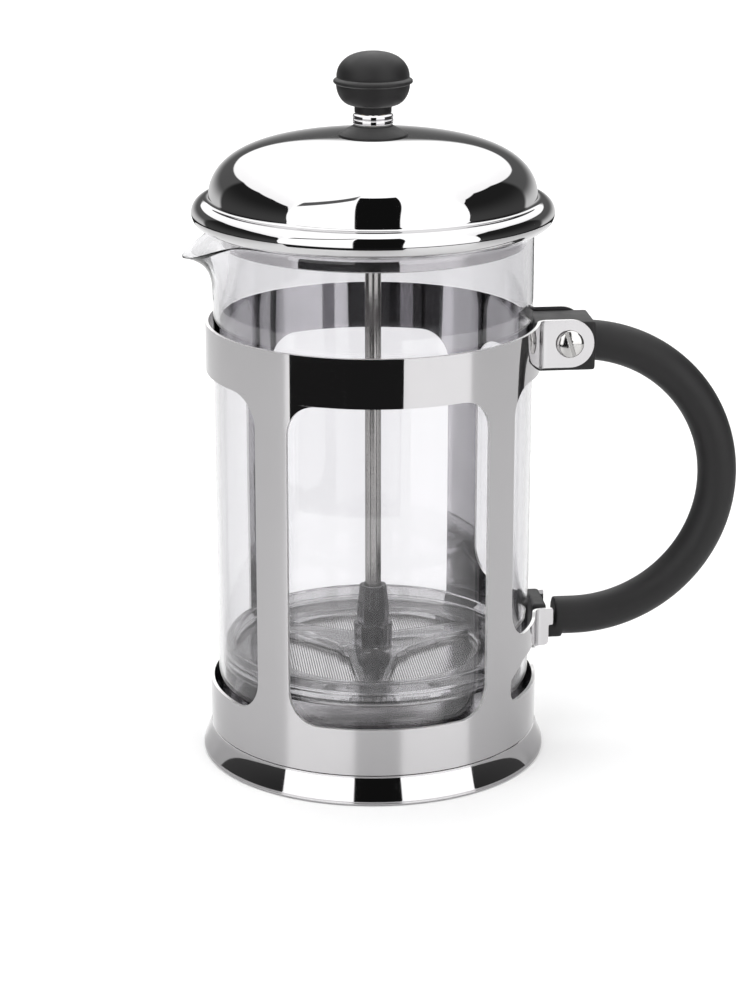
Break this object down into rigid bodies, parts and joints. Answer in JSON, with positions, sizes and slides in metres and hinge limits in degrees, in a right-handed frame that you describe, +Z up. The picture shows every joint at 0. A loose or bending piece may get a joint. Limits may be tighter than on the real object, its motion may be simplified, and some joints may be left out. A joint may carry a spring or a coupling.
{
  "type": "french press",
  "caption": "Coffee plunger pot: a glass beaker in a polished sheet-metal frame with a bow handle, a domed lid and a rod with a knob that pushes a filter down.",
  "frame": {"origin": "middle of the object's footprint box, on the surface it stands on; the beaker's axis stands 28.4 mm from it towards the spout", "axes": "+Z up along the plunger, +X towards the handle, the spout towards -X"},
  "size_m": [0.1742, 0.1102, 0.2206],
  "materials": {
    "frame_chrome": "mirror-polished chromed sheet steel",
    "plain_steel": "bright steel with a fine satin",
    "rod_steel": "ground stainless rod",
    "clear_glass": "clear borosilicate glass",
    "black_plastic": "soft matt black moulding",
    "smoke_plastic": "translucent smoke-grey moulding",
    "filter_gauze": "fine woven stainless gauze",
    "brass_fitting": "turned brass"
  },
  "bodies": {
    "frame": {"frame_cage": "frame_chrome", "base_flare": "frame_chrome", "base_plate": "plain_steel", "handle_grip": "black_plastic", "clamp_washer": "plain_steel", "clamp_nut": "plain_steel"},
    "beaker": {"glass_beaker": "clear_glass"},
    "clamp_screw": {"clamp_screw": "plain_steel"},
    "lid_guide": {"lid_bush": "brass_fitting", "lid_nut": "brass_fitting", "lid_ferrule": "frame_chrome"},
    "lid_shell": {"lid_dome": "frame_chrome", "lid_cup": "frame_chrome", "lid_collar": "black_plastic"},
    "plunger": {"plunger_rod": "rod_steel", "knob_base": "black_plastic", "knob_cap": "black_plastic", "knob_insert": "brass_fitting"},
    "filter": {"filter_collet": "smoke_plastic", "filter_collar": "smoke_plastic", "filter_spider": "smoke_plastic", "filter_rim": "smoke_plastic", "filter_mesh": "filter_gauze", "filter_seal": "smoke_plastic", "filter_plate": "plain_steel", "filter_nut": "smoke_plastic"}
  },
  "joints": [
    {"name": "beaker_lift", "type": "slide", "parent": "frame", "child": "beaker", "axis": [0, 0, 1], "range_m": [0, 0.14]},
    {"name": "lid_lift", "type": "slide", "parent": "beaker", "child": "lid_guide", "axis": [0, 0, 1], "range_m": [0, 0.16]},
    {"name": "lid_turn", "type": "hinge", "parent": "lid_guide", "child": "lid_shell", "pos_m": [-0.02837, 0, 0.18], "axis": [0, 0, 1], "continuous": true},
    {"name": "plunger_slide", "type": "slide", "parent": "lid_guide", "child": "plunger", "axis": [0, 0, 1], "range_m": [0, 0.105]},
    {"name": "filter_turn", "type": "hinge", "parent": "plunger", "child": "filter", "pos_m": [-0.02837, 0, 0.035], "axis": [0, 0, 1], "continuous": true},
    {"name": "screw_turn", "type": "hinge", "parent": "frame", "child": "clamp_screw", "pos_m": [0.03133, -0.01, 0.1315], "axis": [0, -1, 0], "range_deg": [0, 1080]}
  ]
}
